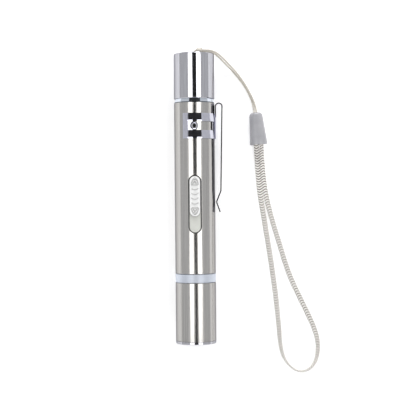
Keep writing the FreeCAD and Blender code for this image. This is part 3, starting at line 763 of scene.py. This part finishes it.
class TORCH_OT_ferrule(bpy.types.Operator):
    """The moulded ferrule, with a dip where the thin cord goes in and a hollow mouth for the strap"""

    bl_idname = "torch.ferrule"
    bl_label = "Ferrule"

    def execute(self, context):
        length = (FERRULE_NECK - FERRULE_MOUTH).length
        ahead = (FERRULE_NECK - FERRULE_MOUTH) / length
        level = Vector((ahead.y, -ahead.x, 0)).normalized()
        sides = 56
        bm = bmesh.new()
        rings = []
        for along, share in ferrule_profile(length, context.scene.torch_strap.shoulder):
            half = FERRULE_MOUTH_HALF.lerp(FERRULE_NECK_HALF, along / length) * share
            ring = []
            for k in range(sides):
                angle = FULL_TURN * k / sides
                offset = level * (math.cos(angle) * half.x) + Vector((0, 0, math.sin(angle) * half.y))
                ring.append(bm.verts.new(FERRULE_MOUTH + ahead * along + offset))
            rings.append(ring)
        skin(bm, rings)
        piece = add_piece("moulded_ferrule", mesh_of(bm, "moulded_ferrule"), "tail_cap", "ferrule_pvc")
        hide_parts("ferrule")
        return {"FINISHED"}


def ferrule_profile(length, shoulder):
    """The ferrule's outline: how far along each ring is, and its size as a share of the full section."""
    # The hollow mouth, from its floor out to its rounded lip
    outline = [(1.8 * MM, 0.02), (1.8 * MM, 0.70), (1.6 * MM, 0.80), (0.15 * MM, 0.83), (0.03 * MM, 0.86)]
    outline += [(0, 0.90), (0, 0.96), (0.03 * MM, 0.985), (0.15 * MM, 1.0)]
    outline += [(length * n / 10, 1.0) for n in range(1, 9)]
    # The shoulder, a quarter turn down to the dip's rim
    rim = 0.58
    steps = 8
    for n in range(steps + 1):
        turn = math.pi / 2 * n / steps
        outline.append((length - shoulder * (1 - math.sin(turn)), 1 - (1 - rim) * (1 - math.cos(turn))))
    # The dip round the thin cord
    outline += [(length, 0.42), (length - 0.12 * MM, 0.36), (length - 0.4 * MM, 0.30)]
    return outline + [(length - 0.5 * MM, 0.02)]


class TORCH_OT_knob(bpy.types.Operator):
    """The thumb slide's knob: a round-ended cap with four curved ribs between two marks"""

    bl_idname = "torch.knob"
    bl_label = "Thumb slide"

    def execute(self, context):
        knob = context.scene.torch_knob
        low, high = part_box("switch_knob")
        middle = (low.y + high.y) / 2
        half_wide = (high.x - low.x) / 2
        half_long = (high.y - low.y) / 2
        top = high.z - AXIS_Z
        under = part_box("switch_track")[1].z - AXIS_Z + knob.lift
        rows, columns = 220, 56
        # The first and last rows stop just short of the knob's ends, where its width would be nothing.
        share_drawn = 0.9995
        # How wide the band of painted shade along the knob's edge is, and how dark the marks' sides are
        # painted
        rim_shade_band, mark_shade = 0.2 * MM, 0.85
        bm = bmesh.new()
        painted_shade = bm.verts.layers.float.new("painted_shade")
        grid, underside = [], []
        for i in range(rows + 1):
            y = half_long * math.sin(math.pi * (i / rows - 0.5)) * share_drawn
            edge = max(abs(y) - (half_long - half_wide), 0)
            reach = math.sqrt(half_wide**2 - edge**2)
            row, below = [], []
            for j in range(columns + 1):
                x = reach * math.sin(math.pi * (j / columns - 0.5))
                inset = half_wide - math.hypot(x, edge)
                drop = knob.edge - math.sqrt(max(knob.edge**2 - max(knob.edge - inset, 0) ** 2, 0))
                height = math.sqrt(top**2 - x**2) - drop - knob.rib_height
                raised = mark_height(x / MM, y / MM, knob) if inset > knob.edge else 0.0
                vertex = bm.verts.new((AXIS_X + x, middle + y, AXIS_Z + height + raised))
                rise = raised / knob.rib_height
                # Painted shade: darkest half-way up the side of a mark, and fading in across a band from
                # the knob's edge.
                beside = 4 * rise * (1 - rise)
                vertex[painted_shade] = max(mark_shade * beside, 1.0 - inset / rim_shade_band)
                row.append(vertex)
                vertex = bm.verts.new((AXIS_X + x, middle + y, AXIS_Z + math.sqrt(under**2 - x**2)))
                # The knob's underside is painted fully shaded.
                vertex[painted_shade] = 1.0
                below.append(vertex)
            grid.append(row)
            underside.append(below)
        rims = []
        for surface in (grid, underside):
            for a, b in zip(surface, surface[1:]):
                for j in range(columns):
                    bm.faces.new((a[j], a[j + 1], b[j + 1], b[j]))
            right = [row[-1] for row in surface]
            left = [row[0] for row in surface[-2::-1]]
            rims.append(right + surface[-1][-2::-1] + left + surface[0][1:-1])
        rim, foot = rims
        for k in range(len(rim)):
            n = (k + 1) % len(rim)
            bm.faces.new((rim[k], rim[n], foot[n], foot[k]))
        bmesh.ops.remove_doubles(bm, verts=bm.verts, dist=1e-8)
        piece = add_piece("ribbed_knob", mesh_of(bm, "ribbed_knob"), "slider", "white_plastic")
        piece.data.materials[0] = white_abs_painted_shade()
        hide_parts("switch_knob")
        return {"FINISHED"}


def mark_height(x, y, knob):
    """Height of the ribs and marks on the knob, in metres, at a place in millimetres from its middle."""
    pitch = knob.rib_spacing / MM
    last_rib = 1.5 * pitch
    # near becomes the distance to the nearest line's middle, and starts well away from all of them.
    near = 9.0
    # Four ribs, their ends curved one way
    rib_half, rib_curve, rib_middle = 1.25, 0.28, 0.15
    for n in range(4):
        if abs(x) < rib_half:
            near = min(near, abs(y - (1.5 - n) * pitch - rib_curve * x * x + rib_middle))
    # Past the last rib at each end, an arch on a straight foot, with an arrow head inside it
    foot, arch_half, arch_long = 1.45, 1.15, 2.1
    arrow_foot, arrow_tip, arrow_slope = 0.4, 1.4, 0.6
    for side in (-1, 1):
        up = y * side - last_rib - foot
        if up > 0:
            near = min(near, 1.3 * abs(math.hypot(x / arch_half, up / arch_long) - 1))
        if abs(x) < arch_half:
            near = min(near, abs(up))
        if arrow_foot < up < arrow_tip:
            near = min(near, 0.85 * abs(abs(x) - arrow_slope * (arrow_tip - up)))
    half = knob.rib_width / MM / 2
    if near >= half:
        return 0.0
    return knob.rib_height * (0.5 + 0.5 * math.cos(math.pi * near / half))


class TORCH_OT_finishes(bpy.types.Operator):
    """Gives each CAD node the finish of its record slot"""

    bl_idname = "torch.finishes"
    bl_label = "Finishes"

    def execute(self, context):
        slots = {entry["node"]: entry["material_slot"] for entry in frame["record"]["subparts"]}
        for name, node in frame["nodes"].items():
            # The track gets its copy of white ABS, greyed with painted shade.
            material = SHADED_TRACK[name]() if name in SHADED_TRACK else finish_for(slots[name])
            if not node.material_slots:
                node.data.materials.append(material)
            for place in node.material_slots:
                place.material = material
        return {"FINISHED"}


class TORCH_OT_stage(bpy.types.Operator):
    """A pale back-lit table in a grey room, with two soft boxes under a black card and one past each end"""

    bl_idname = "torch.stage"
    bl_label = "Stage"

    def execute(self, context):
        stage = context.scene.torch_stage
        context.scene.view_settings.view_transform = "Standard"
        floor = flat_panel("floor", 0, stage.table_width, stage.table_width, 0.0)
        floor.data.materials.append(lit_table(stage.table))
        left, right = stage.left_light[0], stage.right_light[1]
        # The card hangs just over the soft boxes, so that they are in front of it.
        height = stage.light_height + 10 * MM
        card = flat_panel("black_card", (left + right) / 2, right - left, stage.card_length, height)
        card.data.materials.append(black_card())
        for low, high in (stage.left_light, stage.right_light):
            where = Vector((AXIS_X + (low + high) / 2, 0, stage.light_height))
            soft_box(where, where * Vector((1, 1, 0)), high - low, stage.light_length, stage.light_radiance)
        for side, radiance in zip((1, -1), stage.end_light):
            where = Vector((stage.end_shift, side * stage.end_distance, stage.end_height))
            soft_box(where, Vector((0, 0, 0)), *stage.end_size, radiance)
        world = bpy.data.worlds.new("grey_room")
        world.use_nodes = True
        background = world.node_tree.nodes["Background"]
        faintly_cool = (0.97, 0.98, 1.0, 1)
        background.inputs["Color"].default_value = faintly_cool
        background.inputs["Strength"].default_value = stage.room
        context.scene.world = world
        return {"FINISHED"}


def soft_box(where, target, width, length, radiance):
    """A rectangular light of an even brightness, its front towards a target."""
    light = bpy.data.lights.new("soft_box", "AREA")
    light.shape = "RECTANGLE"
    light.size = width
    light.size_y = length
    light.energy = radiance * math.pi * width * length
    lamp = bpy.data.objects.new("soft_box", light)
    lamp.location = where
    lamp.rotation_euler = (where - target).to_track_quat("Z", "Y").to_euler()
    bpy.context.scene.collection.objects.link(lamp)


def flat_panel(name, middle, width, length, height):
    """A level rectangle, its middle to one side of the torch's axis."""
    bm = bmesh.new()
    bmesh.ops.create_grid(bm, x_segments=1, y_segments=1, size=0.5)
    for vertex in bm.verts:
        vertex.co = Vector((AXIS_X + middle + vertex.co.x * width, vertex.co.y * length, height))
    mesh = bpy.data.meshes.new(name)
    bm.to_mesh(mesh)
    bm.free()
    panel = bpy.data.objects.new(name, mesh)
    bpy.context.scene.collection.objects.link(panel)
    return panel


def lit_table(glow):
    """Opal acrylic table top, lit from below so that things on it cast next to no shadow."""
    material, tree, shader, place = new_material("opal_acrylic", Roughness=0.9)
    clouds = stretched(tree, place, 0.05, detail=2.0)
    colour = ramp(tree, clouds, 0.3, 0.7, linear("#FAFAFA"), linear("#FCFCFC"))
    tree.links.new(colour, shader.inputs["Base Color"])
    tree.links.new(colour, shader.inputs["Emission Color"])
    shader.inputs["Emission Strength"].default_value = glow
    return material


def black_card():
    """Matt black card: its bare middle is what polished steel shows as a dark line between two lights."""
    material, tree, shader, place = new_material("black_card", Roughness=0.95)
    fibres = stretched(tree, place, 0.01, detail=2.0)
    colour = ramp(tree, fibres, 0.3, 0.7, linear("#101010"), linear("#161616"))
    tree.links.new(colour, shader.inputs["Base Color"])
    return material


class TORCH_PT_panel(bpy.types.Panel):
    """Lists the pieces and their sizes"""

    bl_idname = "TORCH_PT_panel"
    bl_label = "Pen torch"
    bl_space_type = "VIEW_3D"
    bl_region_type = "UI"
    bl_category = "Pen torch"

    def draw(self, context):
        for operator in OPERATORS:
            self.layout.operator(operator.bl_idname)
        for name in ("torch_stage", "torch_strap", "torch_knob"):
            group = getattr(context.scene, name)
            for key in group.bl_rna.properties.keys():
                if key not in ("rna_type", "name"):
                    self.layout.prop(group, key)


OPERATORS = (
    TORCH_OT_camera,
    TORCH_OT_lanyard_cord,
    TORCH_OT_wrist_strap,
    TORCH_OT_ferrule,
    TORCH_OT_knob,
    TORCH_OT_finishes,
    TORCH_OT_stage,
)
CLASSES = (StageSettings, StrapSettings, KnobSettings, *OPERATORS, TORCH_PT_panel)


def register():
    for entry in CLASSES:
        bpy.utils.register_class(entry)
    bpy.types.Scene.torch_stage = bpy.props.PointerProperty(type=StageSettings)
    bpy.types.Scene.torch_strap = bpy.props.PointerProperty(type=StrapSettings)
    bpy.types.Scene.torch_knob = bpy.props.PointerProperty(type=KnobSettings)


def unregister():
    del bpy.types.Scene.torch_knob
    del bpy.types.Scene.torch_strap
    del bpy.types.Scene.torch_stage
    for entry in reversed(CLASSES):
        bpy.utils.unregister_class(entry)


def main():
    register()
    bpy.ops.torch.camera()
    bpy.ops.torch.lanyard_cord()
    bpy.ops.torch.wrist_strap()
    bpy.ops.torch.ferrule()
    bpy.ops.torch.knob()
    bpy.ops.torch.finishes()
    bpy.ops.torch.stage()


if __name__ == "__main__":
    main()
